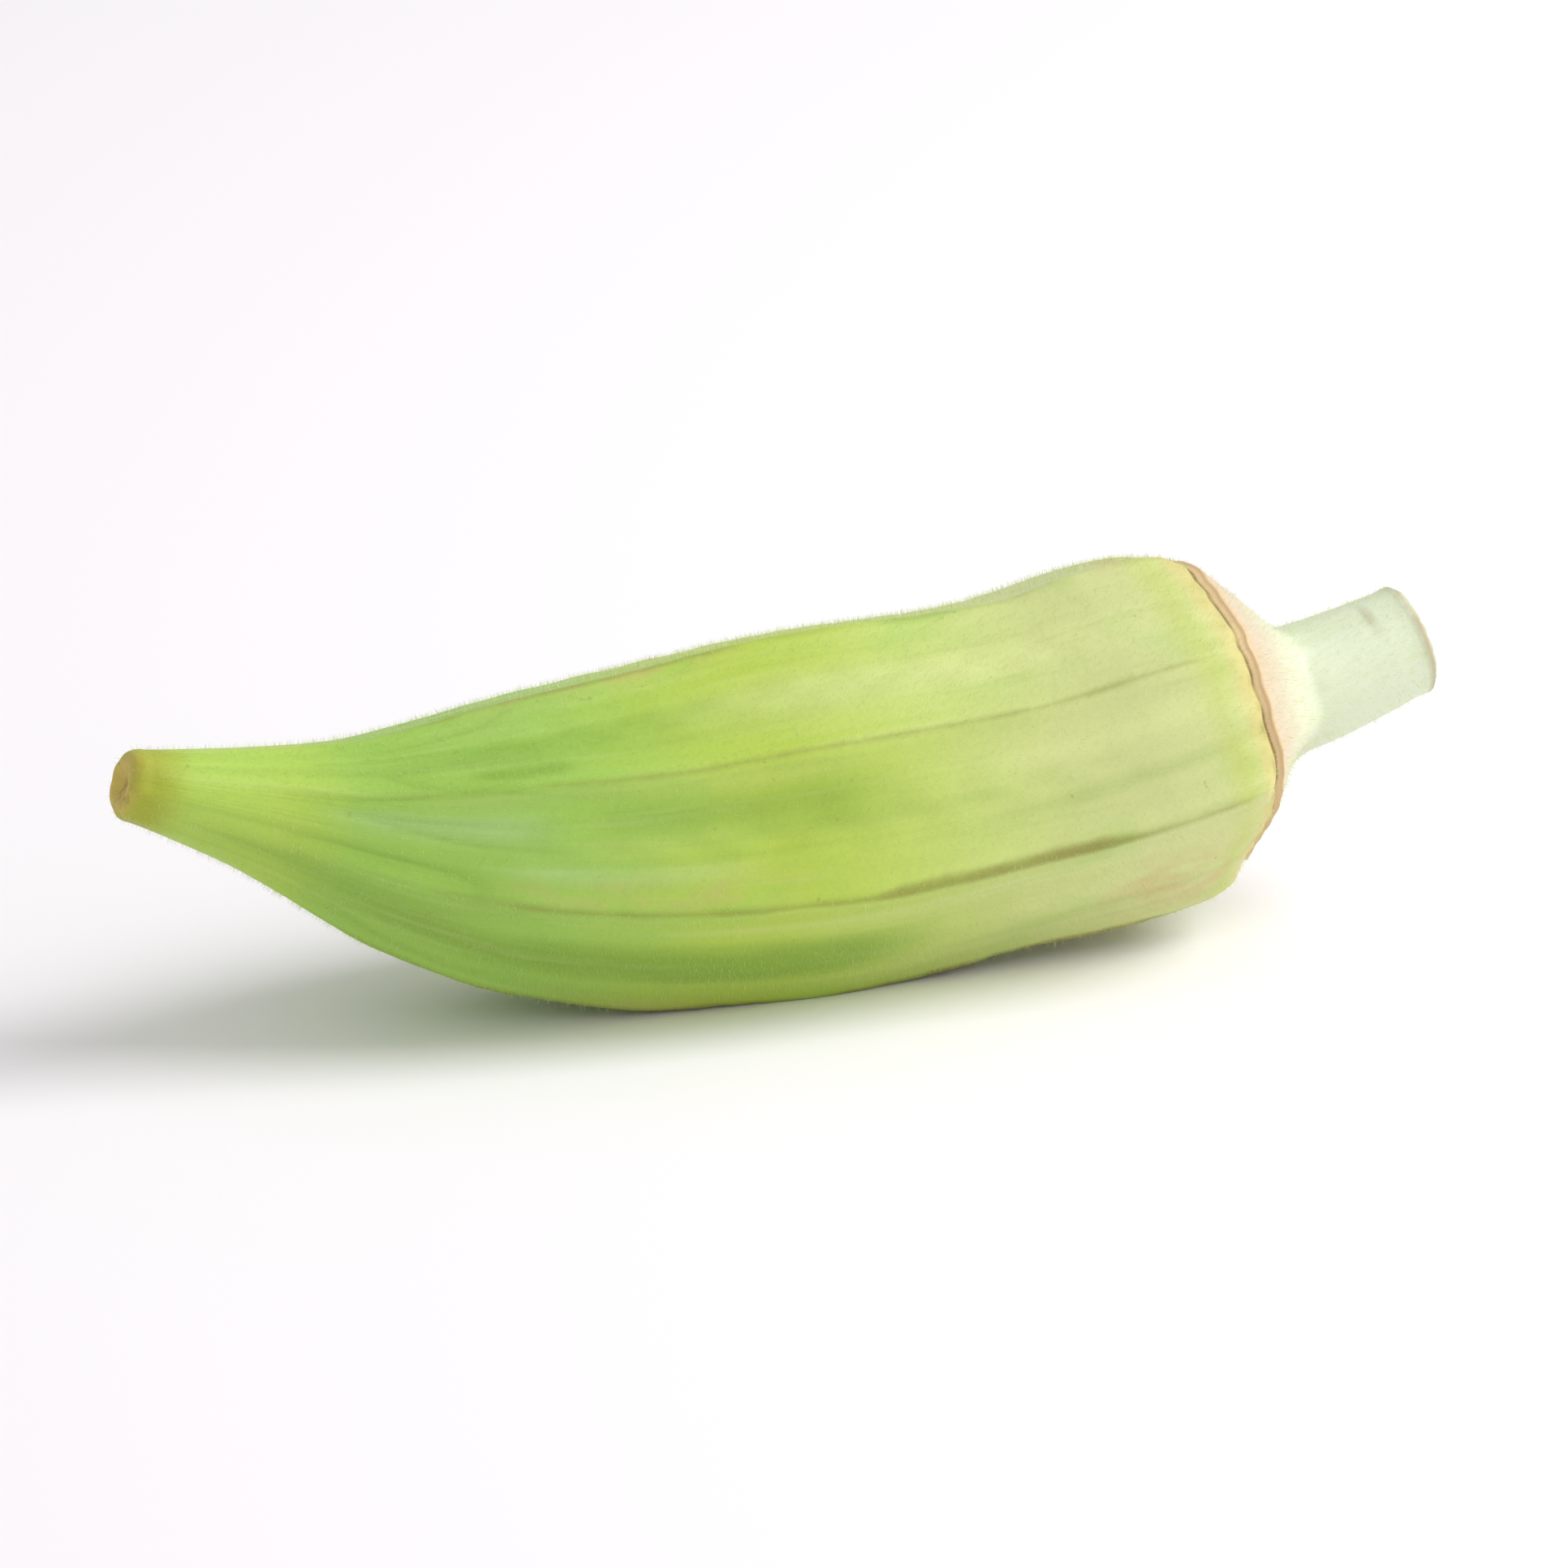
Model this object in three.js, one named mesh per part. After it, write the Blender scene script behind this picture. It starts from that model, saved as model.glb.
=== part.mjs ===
// An okra pod, picked with a stub of its stalk and lying on its belly.
// It grew as one piece: a ribbed pod that tapers to a blunt tip, the scar ring that the sepals left, a
// cone shaped cap and the cut stalk. So it is one skin: an outline gives the radius at each distance
// from the tip, and the section with its seven ribs follows the curved centre line.
// Millimetres, +Z up, tip towards -X, stalk towards +X, resting on z = 0.
import * as THREE from "three";

// Points on the centre line, from the tip to the cut end: along and up. It stays in one upright plane.
const CENTRE_LINE = [
  [-50, 5.1],
  [-41, 2.2],
  [-30, -1.4],
  [-18, -3.3],
  [-4, -3.7],
  [17, -2.5],
  [33, 0.1],
  [41.5, 0.9],
  [50.4, 3.5],
];

// The outline from tip to stalk. A pair is a distance from the tip and the radius there, over the ribs.
const TIP_FACE_RADIUS = 1.4;
const TIP_RADIUS = 2.6;
const TIP_ROUNDING = 1.4;
const BODY = [
  [9, 4.2],
  [15, 6],
  [21, 8.2],
  [28, 10.4],
  [36, 12],
  [45, 13.1],
  [54, 13.6],
  [67, 13.1],
  [77, 13.5],
];
const SHOULDER = [84.2, 13.5];
const RING = [85.3, 12];
const CAP_HOLLOW = [90.6, 5.0];
const CAP_FOOT = [92.6, 4.7];
const STALK_RADIUS = 4.1;
const CUT_ROUNDING = 0.4;

// The scar ring: a shallow groove round the shoulder, askew to the centre line by some degrees, with its
// upper side nearer the tip. The sections lean into it from some way before.
const GROOVE_DEPTH = 0.35;
const GROOVE_WIDTH = 0.9;
const RING_LEAN = -5;
const LEAN_START = 66;

// Directions of the ribs round the pod, in degrees: 0 is -Y and 90 is up. They are not quite evenly
// spaced, and the pod lies on the face between the first two.
const RIB_ANGLES = [-116, -64, -9, 38, 84, 137, 190];
// Half the width of a rounded crest, in degrees.
const CREST_HALF_WIDTH = 3.5;
// How flat the faces between the ribs are: 0 is round and 1 a plain polygon.
const BODY_FLATNESS = 0.58;
const CAP_FLATNESS = 0.45;
const STALK_FLATNESS = 0.15;
// The low cord along each crest, with its half width in degrees.
const CORD_RISE = 0.3;
const CORD_HALF_WIDTH = 4.5;
// Distances from the tip between which the ribs rise out of the round tip, and fade on the cap.
const RIBS_START = 4;
const RIBS_FULL = 26;
const CAP_BLEND = 1;

// How far the belly is pressed flat where the pod rests.
const REST_DEPTH = 0.65;

// Steps along each stretch of the outline, and round the section from rib to rib.
const STEPS = { tip: 3, body: 28, shoulder: 5, groove: 2, cap: 6, stalk: 4, cut: 1 };
const STEPS_PER_RIB = 9;
// The share by which those steps crowd towards the crests.
const CROWDING = 0.45;

const SKIN_COLOUR = "#b4cf6e";
const SKIN_ROUGHNESS = 0.5;

const { degToRad, smoothstep, lerp } = THREE.MathUtils;

const centreLine = new THREE.CatmullRomCurve3(
  CENTRE_LINE.map(([along, up]) => new THREE.Vector3(along, 0, up)),
  false,
  "centripetal",
);
const LENGTH = centreLine.getLength();

// The points of the outline: x is the distance from the tip, y the radius over the ribs.
function outline() {
  const path = new THREE.Path();
  path.moveTo(0, TIP_FACE_RADIUS);
  path.quadraticCurveTo(0, TIP_RADIUS, TIP_ROUNDING, TIP_RADIUS);
  path.splineThru(BODY.map((pair) => new THREE.Vector2(...pair)));
  path.quadraticCurveTo(...SHOULDER, ...RING);
  const [ringAlong, ringRadius] = RING;
  path.quadraticCurveTo(
    ringAlong + GROOVE_WIDTH / 2,
    ringRadius - 2 * GROOVE_DEPTH,
    ringAlong + GROOVE_WIDTH,
    ringRadius - GROOVE_DEPTH,
  );
  path.quadraticCurveTo(...CAP_HOLLOW, ...CAP_FOOT);
  path.lineTo(LENGTH - CUT_ROUNDING, STALK_RADIUS);
  path.lineTo(LENGTH, STALK_RADIUS - CUT_ROUNDING);
  const steps = Object.values(STEPS);
  const stretches = path.curves.map((curve, index) => curve.getPoints(steps[index]).slice(1));
  return [path.curves[0].getPoint(0), ...stretches.flat()];
}

// The directions of the points round a section. Each one knows how far it is from its nearest rib and
// how wide half its face is.
function directions() {
  return RIB_ANGLES.flatMap((rib, index) => {
    const next = RIB_ANGLES[index + 1] ?? RIB_ANGLES[0] + 360;
    return Array.from({ length: STEPS_PER_RIB }, (_, step) => {
      const even = step / STEPS_PER_RIB;
      const share = even - (CROWDING * Math.sin(2 * Math.PI * even)) / (2 * Math.PI);
      return {
        turn: degToRad(lerp(rib, next, share)),
        fromRib: degToRad((next - rib) * Math.min(share, 1 - share)),
        halfFace: degToRad((next - rib) / 2),
      };
    });
  });
}

// The share of the radius over the ribs that is left in a direction: a circle blended with a polygon
// whose corners are softened.
function faceShare({ fromRib, halfFace }, flatness) {
  const crest = degToRad(CREST_HALF_WIDTH);
  const soften = (angle) => Math.hypot(angle, crest) - crest;
  const inFace = (halfFace * soften(fromRib)) / soften(halfFace);
  const polygon = Math.cos(halfFace) / Math.cos(halfFace - inFace);
  return lerp(1, polygon, flatness);
}

// How flat the faces are at a distance from the tip.
function flatnessAt(along) {
  const ribs = smoothstep(along, RIBS_START, RIBS_FULL);
  const cap = smoothstep(along, RING[0] - CAP_BLEND, RING[0] + CAP_BLEND);
  const stalk = smoothstep(along, CAP_HOLLOW[0], CAP_FOOT[0]);
  return lerp(lerp(BODY_FLATNESS * ribs, CAP_FLATNESS, cap), STALK_FLATNESS, stalk);
}

// How high the cord stands at a distance from the tip and a distance from its rib.
function cordAt(along, fromRib) {
  const ribs = smoothstep(along, RIBS_START, RIBS_FULL);
  const cap = smoothstep(along, RING[0] - CAP_BLEND, RING[0]);
  return CORD_RISE * ribs * (1 - cap) * Math.exp(-((fromRib / degToRad(CORD_HALF_WIDTH)) ** 2));
}

// The share of the ring's lean that the section at a distance from the tip takes.
function leanAt(along) {
  const before = smoothstep(along, LEAN_START, RING[0]);
  const after = smoothstep(along, RING[0] + GROOVE_WIDTH, LENGTH);
  return Math.tan(degToRad(RING_LEAN)) * before * (1 - after);
}

// One ring of points round the centre line.
function section({ x: along, y: radius }, around) {
  const place = Math.min(along / LENGTH, 1);
  const centre = centreLine.getPointAt(place);
  const ahead = centreLine.getTangentAt(place);
  const front = new THREE.Vector3(0, -1, 0);
  const top = front.clone().cross(ahead).addScaledVector(ahead, leanAt(along));
  const flatness = flatnessAt(along);
  return around.map((direction) => {
    const reach = radius * faceShare(direction, flatness) + cordAt(along, direction.fromRib);
    return centre
      .clone()
      .addScaledVector(front, reach * Math.cos(direction.turn))
      .addScaledVector(top, reach * Math.sin(direction.turn));
  });
}

// A closed skin over rings of points, with a fan of triangles to the middle of each end.
function skin(rings, ends) {
  const count = rings[0].length;
  const lastRing = (rings.length - 1) * count;
  const firstEnd = rings.length * count;
  const triangles = [];
  for (let j = 0; j < count; j++) {
    const next = (j + 1) % count;
    triangles.push(firstEnd, j, next);
    for (let ring = 0; ring < lastRing; ring += count) {
      const [a, b] = [ring + j, ring + next];
      triangles.push(a, a + count, b + count, a, b + count, b);
    }
    triangles.push(firstEnd + 1, lastRing + next, lastRing + j);
  }
  return new THREE.BufferGeometry().setFromPoints([...rings.flat(), ...ends]).setIndex(triangles);
}

// Centres the geometry in plan and stands it on z = 0, with its lowest part pressed flat.
function rest(geometry) {
  geometry.computeBoundingBox();
  const { min, max } = geometry.boundingBox;
  geometry.translate(-(min.x + max.x) / 2, -(min.y + max.y) / 2, -min.z - REST_DEPTH);
  const { position } = geometry.attributes;
  for (let i = 0; i < position.count; i++) position.setZ(i, Math.max(position.getZ(i), 0));
  geometry.computeVertexNormals();
}

const around = directions();
const rings = outline().map((point) => section(point, around));
const geometry = skin(rings, [centreLine.getPointAt(0), centreLine.getPointAt(1)]);
rest(geometry);

const pod = new THREE.Mesh(
  geometry,
  new THREE.MeshStandardMaterial({ color: SKIN_COLOUR, roughness: SKIN_ROUGHNESS, metalness: 0 }),
);
pod.name = "okra_pod";

const okra = new THREE.Group();
okra.add(pod);

export default okra;
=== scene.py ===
# %% [markdown]
# # An okra pod
# This lesson finishes one fresh okra pod, picked with a stub of its stalk and lying on its belly. The
# real thing grew as one piece: a ribbed pod that tapers to a blunt tip, the scar ring that the sepals
# left, a cone shaped cap and the cut stalk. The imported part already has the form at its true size, but
# its faces are broad and its skin is bare. So the lesson lays a much finer skin on the same form, gives
# it veins, wrinkles and a torn ring, paints it with nodes, and covers it with its short hairs.

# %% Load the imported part
import math
from bisect import bisect
from collections import namedtuple

import bmesh
import bpy
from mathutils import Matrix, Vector, noise
from mathutils.geometry import interpolate_bezier


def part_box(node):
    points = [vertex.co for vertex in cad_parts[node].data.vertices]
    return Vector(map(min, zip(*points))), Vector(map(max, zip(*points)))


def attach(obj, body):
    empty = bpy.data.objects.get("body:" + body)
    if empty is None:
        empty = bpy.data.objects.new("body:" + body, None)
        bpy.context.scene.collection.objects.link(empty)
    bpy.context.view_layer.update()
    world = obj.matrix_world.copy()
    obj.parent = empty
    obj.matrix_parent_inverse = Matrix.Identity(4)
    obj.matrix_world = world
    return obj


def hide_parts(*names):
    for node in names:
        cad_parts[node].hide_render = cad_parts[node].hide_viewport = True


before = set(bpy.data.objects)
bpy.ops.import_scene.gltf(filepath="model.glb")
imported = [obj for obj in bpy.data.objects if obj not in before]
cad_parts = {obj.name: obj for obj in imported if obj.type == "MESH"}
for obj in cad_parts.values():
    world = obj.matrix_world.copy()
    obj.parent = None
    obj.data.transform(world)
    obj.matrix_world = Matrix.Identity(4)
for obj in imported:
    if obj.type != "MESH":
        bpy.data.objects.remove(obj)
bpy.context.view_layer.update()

TO_MM = 1000
POD_LOW, POD_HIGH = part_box("okra_pod")
print("the part measures", [round(side, 4) for side in POD_HIGH - POD_LOW], "metres")

# %% [markdown]
# ## Camera
# The photograph looks a little down on the pod, with its tip end turned somewhat towards the lens. Small
# things are usually photographed from some way off, so a long lens from nearly a metre keeps the
# perspective as flat as it is there. The width of the view is a real size, and the lens follows from it.

# %% Camera
VIEW_TURN = math.radians(-22)
VIEW_RISE = math.radians(19)
VIEW_DISTANCE = 0.85
VIEW_WIDTH = 0.1133
SENSOR_MM = 36

view_back = Vector((
    math.sin(VIEW_TURN) * math.cos(VIEW_RISE),
    -math.cos(VIEW_TURN) * math.cos(VIEW_RISE),
    math.sin(VIEW_RISE),
))
view_right = Vector((math.cos(VIEW_TURN), math.sin(VIEW_TURN), 0))
pod_middle = (POD_LOW + POD_HIGH) / 2

lens = bpy.data.cameras.new("camera")
lens.sensor_width = SENSOR_MM
lens.lens = SENSOR_MM * VIEW_DISTANCE / VIEW_WIDTH
camera = bpy.data.objects.new("camera", lens)
camera.location = pod_middle + VIEW_DISTANCE * view_back
camera.rotation_mode = "QUATERNION"
camera.rotation_quaternion = (-view_back).to_track_quat("-Z", "Y")
bpy.context.scene.collection.objects.link(camera)
bpy.context.scene.camera = camera
print("the lens is", round(lens.lens), "mm long")

# %% [markdown]
# ## Floor and light
# The photograph has soft light from above on the right. A broad lamp there gives the pale shoulder and
# upper side, lets the tip end fall off in tone, and lays the soft shadow to the left. A white world
# fills the rest, which keeps the shadow faint, and a weak lamp, low in front on the right, adds to the
# light that the pale floor throws back. Broad lamps have soft edges, so no hard highlight spoils the
# velvety skin.

# %% Floor and light
FLOOR_SIZE = 4
FLOOR_WHITE = (0.93, 0.90, 0.93, 1)
FLOOR_DULLNESS = 0.9
FLOOR_GLOSS = 0.1
WORLD_STRENGTH = 0.59
KEY_SIZE = 0.5
KEY_POWER = 5.9
KEY_OFFSET = 0.62 * view_right - 0.08 * view_back + Vector((0, 0, 0.58))
FILL_SIZE = 0.8
FILL_POWER = 0.85
FILL_OFFSET = 0.55 * view_right + 0.5 * view_back + Vector((0, 0, 0.05))


def soft_lamp(name, offset, size, power):
    """A square lamp at an offset from the pod's middle, turned to face it."""
    lamp = bpy.data.lights.new(name, "AREA")
    lamp.size = size
    lamp.energy = power
    holder = bpy.data.objects.new(name, lamp)
    holder.location = pod_middle + offset
    holder.rotation_euler = (-offset).to_track_quat("-Z", "Y").to_euler()
    bpy.context.scene.collection.objects.link(holder)


soft_lamp("key_light", KEY_OFFSET, KEY_SIZE, KEY_POWER)
soft_lamp("fill_light", FILL_OFFSET, FILL_SIZE, FILL_POWER)

world = bpy.data.worlds.new("white_room")
world.use_nodes = True
world.node_tree.nodes["Background"].inputs["Color"].default_value = (1, 1, 1, 1)
world.node_tree.nodes["Background"].inputs["Strength"].default_value = WORLD_STRENGTH
bpy.context.scene.world = world
bpy.context.scene.view_settings.view_transform = "Standard"

sheet = bmesh.new()
bmesh.ops.create_grid(sheet, x_segments=1, y_segments=1, size=FLOOR_SIZE / 2)
floor_mesh = bpy.data.meshes.new("floor")
sheet.to_mesh(floor_mesh)
sheet.free()
floor = bpy.data.objects.new("floor", floor_mesh)
bpy.context.scene.collection.objects.link(floor)

floor_paint = bpy.data.materials.new("floor_white")
floor_paint.use_nodes = True
floor_shader = floor_paint.node_tree.nodes["Principled BSDF"]
floor_shader.inputs["Base Color"].default_value = FLOOR_WHITE
floor_shader.inputs["Roughness"].default_value = FLOOR_DULLNESS
floor_shader.inputs["Specular IOR Level"].default_value = FLOOR_GLOSS
floor_mesh.materials.append(floor_paint)
print("the key light stands", round(KEY_OFFSET.length, 2), "metres from the pod")

# %% [markdown]
# ## The form of the pod
# The part's own driving sizes are repeated here, in metres. A centre line bends in one upright plane,
# an outline gives the radius over the ribs at each distance from the tip, and seven ribs stand in
# directions that aren't quite even. Smooth lines through a few points come from Bezier spans: each span
# takes its handles from the neighbours of its ends, a sixth of the way from one to the other.

# %% Sizes of the form
CENTRE_LINE = [
    (-0.050, 0.0051),
    (-0.041, 0.0022),
    (-0.030, -0.0014),
    (-0.018, -0.0033),
    (-0.004, -0.0037),
    (0.017, -0.0025),
    (0.033, 0.0001),
    (0.0415, 0.0009),
    (0.0504, 0.0035),
]
TIP_FACE_RADIUS = 0.0014
TIP_RADIUS = 0.0026
TIP_ROUNDING = 0.0014
BODY = [
    (0.009, 0.0042),
    (0.015, 0.0060),
    (0.021, 0.0082),
    (0.028, 0.0104),
    (0.036, 0.0120),
    (0.045, 0.0131),
    (0.054, 0.0136),
    (0.067, 0.0131),
    (0.077, 0.0135),
]
SHOULDER = (0.0842, 0.0135)
RING = (0.0853, 0.0120)
GROOVE_DEPTH = 0.00035
GROOVE_WIDTH = 0.0009
CAP_HOLLOW = (0.0906, 0.0050)
CAP_FOOT = (0.0926, 0.0047)
STALK_RADIUS = 0.0041
CUT_ROUNDING = 0.0004
RIB_ANGLES = [-116, -64, -9, 38, 84, 137, 190]
CREST = math.radians(3.5)
BODY_FLATNESS = 0.58
CAP_FLATNESS = 0.45
STALK_FLATNESS = 0.15
CORD_RISE = 0.0003
CORD_WIDTH = math.radians(4.5)
RIBS_START = 0.004
RIBS_FULL = 0.026
CAP_BLEND = 0.001
RING_LEAN = math.radians(-5)
LEAN_START = 0.066
REST_DEPTH = 0.00065
print("the outline has", len(BODY), "points between the tip and the shoulder")

# %% Smooth lines
CENTRE_STEPS = 40
CORNER_REACH = 2 / 3


def smooth_line(knots, steps):
    """Points on a smooth line through the knots, this many to a span."""
    knots = [Vector(knot) for knot in knots]
    around = [knots[0], *knots, knots[-1]]
    line = [knots[0]]
    for before, start, end, after in zip(around, around[1:], around[2:], around[3:]):
        handles = start + (end - before) / 6, end - (after - start) / 6
        line += interpolate_bezier(start, *handles, end, steps + 1)[1:]
    return line


def bend(start, corner, end, steps):
    """Points on a rounded corner, without its start. Two handles reach most of the way to the corner."""
    start, corner, end = Vector(start), Vector(corner), Vector(end)
    handles = start.lerp(corner, CORNER_REACH), end.lerp(corner, CORNER_REACH)
    return interpolate_bezier(start, *handles, end, steps + 1)[1:]


def straight_line(start, end, steps):
    """Evenly spaced points on a straight line, without its start."""
    return bend(start, (Vector(start) + Vector(end)) / 2, end, steps)


def distances(line):
    """How far along the line each of its points is."""
    travelled = [0]
    for here, there in zip(line, line[1:]):
        travelled.append(travelled[-1] + (there - here).length)
    return travelled


centre_points = smooth_line([(along, 0, up) for along, up in CENTRE_LINE], CENTRE_STEPS)
centre_distances = distances(centre_points)
LENGTH = centre_distances[-1]
print("the centre line is", round(LENGTH, 4), "metres long")

# %% [markdown]
# ## Rows of the skin
# The skin starts as a flat sheet with a row of points for each step along the outline. Rows stand closer
# where the form turns sharply, at the tip, the ring and the cut. The outline starts on the axis, runs
# out over the face of the tip, along the pod, and back to the axis over the cut face, so the rolled
# sheet closes by itself. Each row also knows its trail, the way travelled along the outline, because
# a pattern that is painted along the trail runs on over the corners.

# %% Rows of the skin
TIP_FACE_STEPS = 7
TIP_STEPS = 7
BODY_STEPS = 22
SHOULDER_STEPS = 22
GROOVE_STEPS = 10
CAP_STEPS = 26
STALK_STEPS = 24
CUT_STEPS = 3
CUT_FACE_STEPS = 12

Row = namedtuple("Row", "along radius trail")
groove_middle = (RING[0] + GROOVE_WIDTH / 2, RING[1] - 2 * GROOVE_DEPTH)
groove_end = (RING[0] + GROOVE_WIDTH, RING[1] - GROOVE_DEPTH)
tip_edge = (TIP_ROUNDING, TIP_RADIUS)
cut_start = (LENGTH - CUT_ROUNDING, STALK_RADIUS)
cut_edge = (LENGTH, STALK_RADIUS - CUT_ROUNDING)
outline = [
    Vector((0, 0)),
    *straight_line((0, 0), (0, TIP_FACE_RADIUS), TIP_FACE_STEPS),
    *bend((0, TIP_FACE_RADIUS), (0, TIP_RADIUS), tip_edge, TIP_STEPS),
    *smooth_line([tip_edge, *BODY], BODY_STEPS)[1:],
    *bend(BODY[-1], SHOULDER, RING, SHOULDER_STEPS),
    *bend(RING, groove_middle, groove_end, GROOVE_STEPS),
    *bend(groove_end, CAP_HOLLOW, CAP_FOOT, CAP_STEPS),
    *straight_line(CAP_FOOT, cut_start, STALK_STEPS),
    *straight_line(cut_start, cut_edge, CUT_STEPS),
    *straight_line(cut_edge, (LENGTH, 0), CUT_FACE_STEPS),
]
trails = distances(outline)
rows = [Row(point.x, point.y, trail) for point, trail in zip(outline, trails)]
FACE_TRAIL = TIP_FACE_RADIUS
CUT_TRAIL = trails[-1 - CUT_FACE_STEPS]


def trail_at(along):
    """The trail of the first row that is this far from the tip."""
    return next(row.trail for row in rows if row.along >= along and row.trail > FACE_TRAIL)


RING_TRAIL = trail_at(RING[0])
print(len(rows), "rows; the trail is", round(trails[-1], 4), "metres long")
print("the ring is at", round(RING_TRAIL, 4))

# %% [markdown]
# ## Directions round the pod
# The columns of the sheet are the directions round the pod. They crowd towards the crests, where the
# form is sharpest. Each one knows its nearest rib, how far it is from it, and how wide half of its face
# is.

# %% Directions round the pod
STEPS_PER_RIB = 40
CROWDING = 0.45
FULL_TURN = 360
HALF_TURN = FULL_TURN / 2

Direction = namedtuple("Direction", "turn rib from_rib half_face")
directions = []
for rib, angle in enumerate(RIB_ANGLES):
    following = RIB_ANGLES[rib + 1] if rib + 1 < len(RIB_ANGLES) else RIB_ANGLES[0] + FULL_TURN
    for step in range(STEPS_PER_RIB):
        even = step / STEPS_PER_RIB
        share = even - CROWDING * math.sin(2 * math.pi * even) / (2 * math.pi)
        turn = math.radians(angle + (following - angle) * share)
        width = math.radians(following - angle)
        if share < 0.5:
            directions.append(Direction(turn, rib, width * share, width / 2))
        else:
            next_rib = (rib + 1) % len(RIB_ANGLES)
            directions.append(Direction(turn, next_rib, width * (1 - share), width / 2))
print(len(directions), "directions, so the sheet has", len(directions) * (len(rows) - 1), "faces")

# %% [markdown]
# ## Slow changes and fine grain
# Two kinds of formula shape the skin. An ease rises smoothly from 0 to 1 between two places, and a hump
# rises and falls round one. What grew by chance is noise, and on a plant it is drawn out along the
# fibres. So noise is read on a straightened pod, a plain tube where the fibres run along X: wherever the
# real pod narrows, the pattern narrows with it, and it meets itself with no seam. Each layer of noise is
# read some way from the others, so they have nothing in common.

# %% Slow changes and fine grain
TUBE_RADIUS = 0.013
LAYER_ALONG, LAYER_UP = 17.3, 5.1


def ease(value, start, end):
    """0 before the start, 1 past the end, and a smooth rise between them."""
    share = min(max((value - start) / (end - start), 0), 1)
    return share * share * (3 - 2 * share)


def hump(value, middle, width):
    """1 at the middle, less and less away from it."""
    return math.exp(-(((value - middle) / width) ** 2))


def blend(first, second, share):
    """The value that lies this share of the way from the first to the second."""
    return first + (second - first) * share


def straightened(trail, turn):
    """Where a place on the skin is on the straightened pod."""
    return Vector((trail, TUBE_RADIUS * math.cos(turn), TUBE_RADIUS * math.sin(turn)))


def grain(place, long, wide, layer):
    """Noise from -1 to 1 whose spots are this long and wide. Each layer is another pattern."""
    along = place.x / long + LAYER_ALONG * layer
    return noise.noise(Vector((along, place.y / wide, place.z / wide + LAYER_UP * layer)))


def grain_round(turn, wide, layer):
    """Noise from -1 to 1 that changes only round the pod."""
    return grain(straightened(0, turn), wide, wide, layer)


print("layers of grain at one place:", [round(grain_round(0, TUBE_RADIUS, layer), 2) for layer in (1, 2)])

# %% [markdown]
# ## The plain form
# These are the part's formulas: what share of the radius is left between the ribs, how flat the faces
# are, how the sections lean into the ring, and where the pod is ribbed. A section is a circle blended
# with a polygon that has soft corners.

# %% The plain form
def face_share(direction, flatness):
    """The share of the radius over the ribs that is left in this direction."""
    def soften(angle):
        return math.hypot(angle, CREST) - CREST

    in_face = direction.half_face * soften(direction.from_rib) / soften(direction.half_face)
    polygon = math.cos(direction.half_face) / math.cos(direction.half_face - in_face)
    return blend(1, polygon, flatness)


def flatness_at(along):
    """How flat the faces are at a distance from the tip."""
    ribs = ease(along, RIBS_START, RIBS_FULL)
    cap = ease(along, RING[0] - CAP_BLEND, RING[0] + CAP_BLEND)
    stalk = ease(along, CAP_HOLLOW[0], CAP_FOOT[0])
    return blend(blend(BODY_FLATNESS * ribs, CAP_FLATNESS, cap), STALK_FLATNESS, stalk)


def lean_at(along):
    """How much of its height a section takes as a lean into the ring."""
    after = ease(along, RING[0] + GROOVE_WIDTH, LENGTH)
    return math.tan(RING_LEAN) * ease(along, LEAN_START, RING[0]) * (1 - after)


def body_share(along):
    """1 on the ribbed body, 0 at the round tip and past the ring."""
    return ease(along, RIBS_START, RIBS_FULL) * (1 - ease(along, RING[0] - CAP_BLEND, RING[0]))


mid_face = directions[STEPS_PER_RIB // 2]
print("left of the radius between two ribs:", round(face_share(mid_face, BODY_FLATNESS), 3))

# %% [markdown]
# ## Crests
# On a real pod the crest of a rib is a thin cord. It wanders a little, its height changes from place to
# place, and where it is rubbed in the crate it is nicked and turns brown. The wandering moves whole
# columns of the sheet sideways, so that a column always stays on its crest. The noise of each rib is
# read a step away from its neighbour's, so no two crests are alike.

# %% Crests
WANDER = math.radians(1.3)
WANDER_LENGTH = 0.016
CORD_LENGTH = 0.007
CORD_UNEVENNESS = 0.75
NICK_DEPTH = 0.0002
NICK_LENGTH = 0.0016
WANDER_STEP, CORD_STEP = 7.7, 3.1
SWELL_LAYER, NICK_LAYER = 4, 9


def wander(row, direction):
    """How far a direction moves round the pod at this row, in radians."""
    near_rib = (1 - direction.from_rib / direction.half_face) ** 2
    sway = noise.noise(Vector((row.along / WANDER_LENGTH, WANDER_STEP * direction.rib, 0)))
    return WANDER * near_rib * sway


def cord(row, direction, worn):
    """The height of the cord along the crest, lower where it is worn."""
    across = hump(direction.from_rib, 0, CORD_WIDTH)
    swell = noise.noise(Vector((row.along / CORD_LENGTH, CORD_STEP * direction.rib, SWELL_LAYER)))
    nick = max(noise.noise(Vector((row.along / NICK_LENGTH, CORD_STEP * direction.rib, NICK_LAYER))), 0)
    rise = CORD_RISE * (1 + CORD_UNEVENNESS * swell) * body_share(row.along)
    return across * (rise - NICK_DEPTH * worn * nick)


print("the crests wander up to", round(WANDER * BODY[-1][1] * TO_MM, 2), "mm sideways")
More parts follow.
